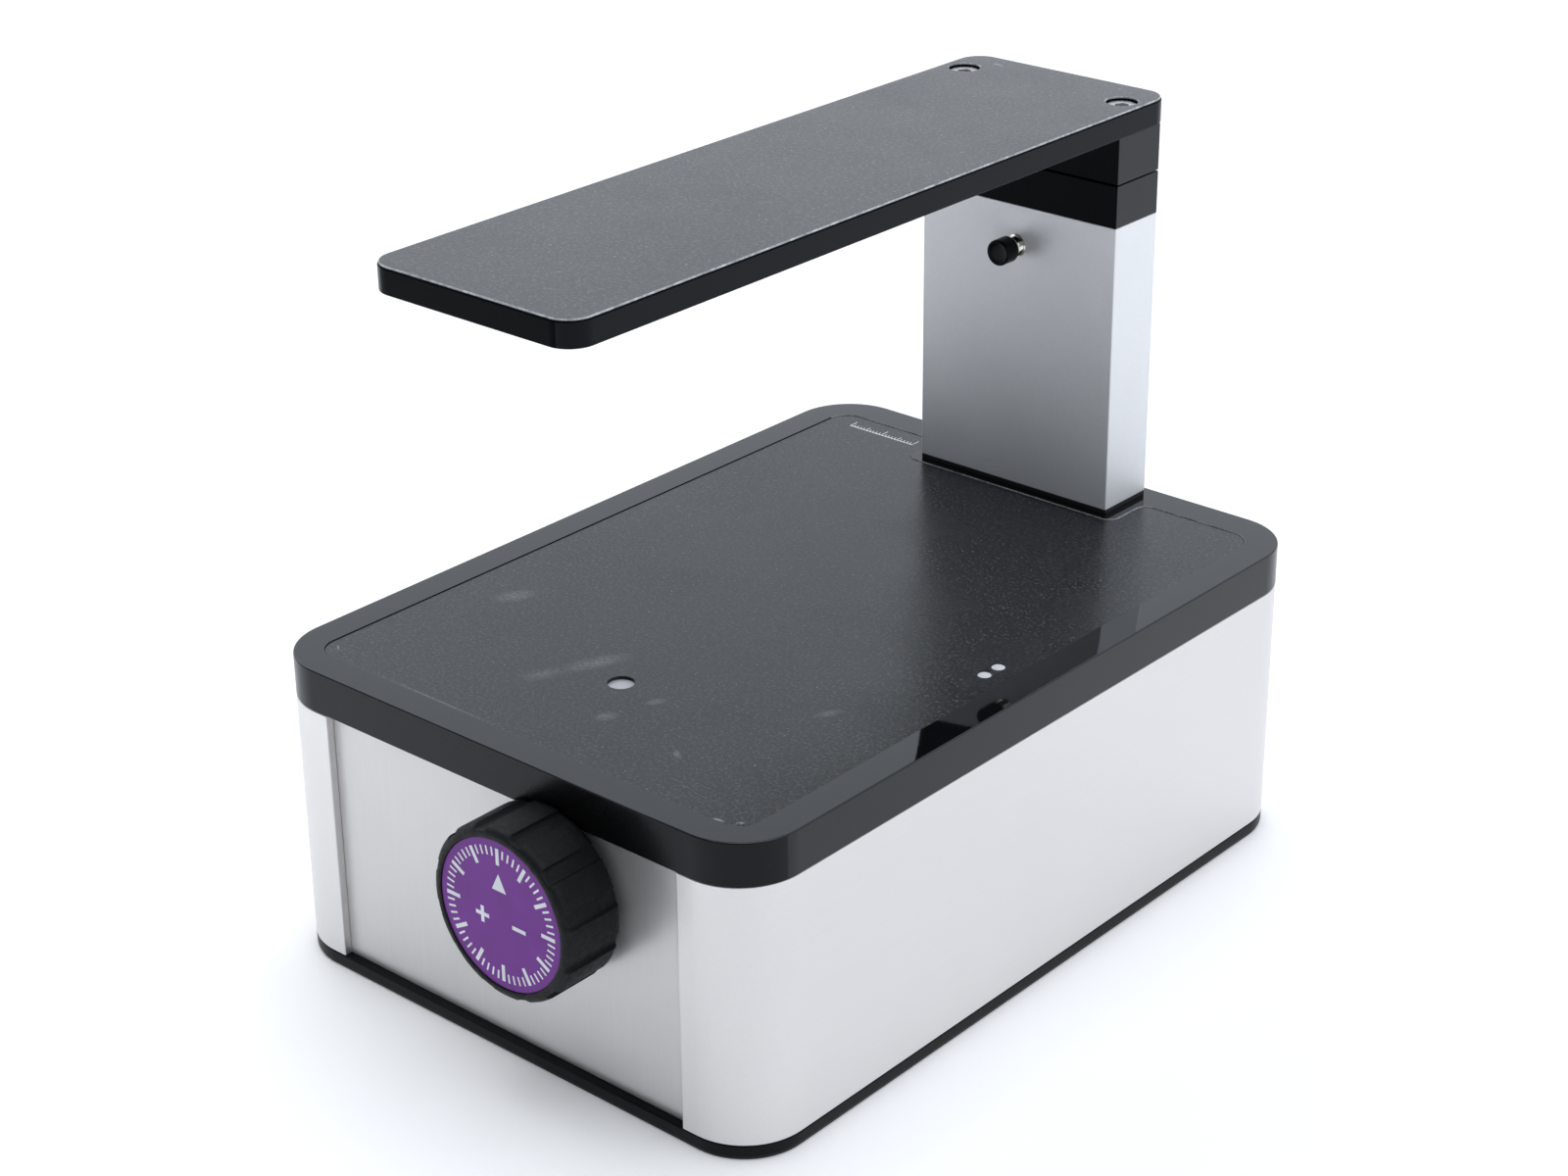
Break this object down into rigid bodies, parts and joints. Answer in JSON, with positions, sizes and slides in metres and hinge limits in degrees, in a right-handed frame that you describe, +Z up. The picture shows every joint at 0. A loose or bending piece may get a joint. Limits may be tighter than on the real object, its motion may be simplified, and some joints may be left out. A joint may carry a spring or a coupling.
{
  "type": "inverted digital microscope",
  "caption": "Compact inverted microscope: closed metal base with a focus knob and objective port, and a post carrying a lamp arm over its flat deck.",
  "frame": {"origin": "centre of the base's footprint, on the surface it stands on", "axes": "+Z up; -Y towards the focus knob; +X to the right, seen from the knob"},
  "size_m": [0.14, 0.2104, 0.1716],
  "materials": {
    "shell_metal": "satin anodised",
    "panel_metal": "fine brushed",
    "post_metal": "fine bead blasted",
    "black_sheet": "polished black sheet",
    "black_block": "machined black sheet",
    "base_sheet": "black sheet",
    "stage_matte": "fine textured film",
    "arm_matte": "fine textured film",
    "printed_black": "rough printed plastic",
    "label_purple": "printed label",
    "mat_rubber": "matt",
    "gasket": "matt",
    "screw_steel": "zinc plated",
    "rod_steel": "ground",
    "nickel": "nickel plated",
    "bush_bronze": "sintered",
    "gear_brass": "machined",
    "gear_nylon": "moulded",
    "frame_metal": "milled",
    "carriage_metal": "black anodised",
    "lens_glass": "coated",
    "frosted": "milky diffuser",
    "board_green": "solder mask",
    "board_white": "white solder mask",
    "chip_black": "moulded",
    "cell_blue": "shrink sleeve",
    "button_black": "moulded",
    "switch_blue": "moulded",
    "lead_black": "insulation"
  },
  "bodies": {
    "base": {"foot_mat": "mat_rubber", "base_plate": "base_sheet", "base_screws": "screw_steel", "left_shell": "shell_metal", "right_shell": "shell_metal", "front_panel": "panel_metal", "rear_panel": "panel_metal", "pillars": "frame_metal", "deck": "black_sheet", "deck_screws": "screw_steel", "stage_film": "stage_matte", "port_window": "frosted", "status_lights": "frosted", "post_gasket": "gasket", "post": "post_metal", "post_bolts": "screw_steel", "swivel_base": "black_block", "swivel_base_screws": "screw_steel", "switch_bush": "nickel", "switch_body": "switch_blue", "return_spring": "rod_steel", "focus_bush": "bush_bronze", "gear_frame": "frame_metal", "frame_screws": "screw_steel", "layshaft_bushes": "bush_bronze", "guide_rods": "rod_steel", "rod_feet": "frame_metal", "main_board": "board_green", "board_parts": "chip_black", "board_standoffs": "frame_metal", "battery_tray": "chip_black", "battery_cells": "cell_blue", "charge_socket": "nickel", "post_lead": "lead_black"},
    "focus_knob": {"focus_knob": "printed_black", "knob_label": "label_purple", "knob_shaft": "rod_steel", "knob_pinion": "gear_brass"},
    "layshaft": {"layshaft": "rod_steel", "reduction_gear": "gear_nylon", "rack_pinion": "gear_brass"},
    "carriage": {"carriage": "carriage_metal", "focus_rack": "gear_brass", "guide_bushes": "bush_bronze", "objective_barrel": "carriage_metal", "objective_lens": "lens_glass", "camera_tube": "carriage_metal", "camera_board": "board_green"},
    "arm": {"arm_plate": "black_block", "arm_film": "arm_matte", "arm_screws": "screw_steel", "swivel_head": "black_block", "swivel_pin": "rod_steel", "swivel_collar": "screw_steel", "lamp_board": "board_white", "condenser_lens": "lens_glass", "lamp_bezel": "chip_black", "arm_lead": "lead_black"},
    "button": {"button_cap": "button_black", "button_plunger": "gear_nylon"}
  },
  "joints": [
    {"name": "focus_turn", "type": "hinge", "parent": "base", "child": "focus_knob", "pos_m": [0.0168, -0.097, 0.0475], "axis": [0, -1, 0], "range_deg": [-180, 180]},
    {"name": "layshaft_turn", "type": "hinge", "parent": "base", "child": "layshaft", "pos_m": [0.0168, -0.08, 0.0259], "axis": [0, -1, 0], "range_deg": [-37, 37]},
    {"name": "focus_slide", "type": "slide", "parent": "base", "child": "carriage", "axis": [0, 0, 1], "range_m": [-0.003, 0.003]},
    {"name": "arm_swivel", "type": "hinge", "parent": "base", "child": "arm", "pos_m": [0, 0.08575, 0.1546], "axis": [0, 0, 1], "range_deg": [-90, 90]},
    {"name": "button_press", "type": "slide", "parent": "base", "child": "button", "axis": [0, 1, 0], "range_m": [0, 0.001], "stiffness_N_per_m": 600, "springref_m": -0.0005, "deforming": ["return_spring"]}
  ],
  "couplings": [
    {"joint": "focus_turn", "follows": "focus_slide", "rad_per_m": 1041.7},
    {"joint": "layshaft_turn", "follows": "focus_slide", "rad_per_m": -208.33}
  ]
}
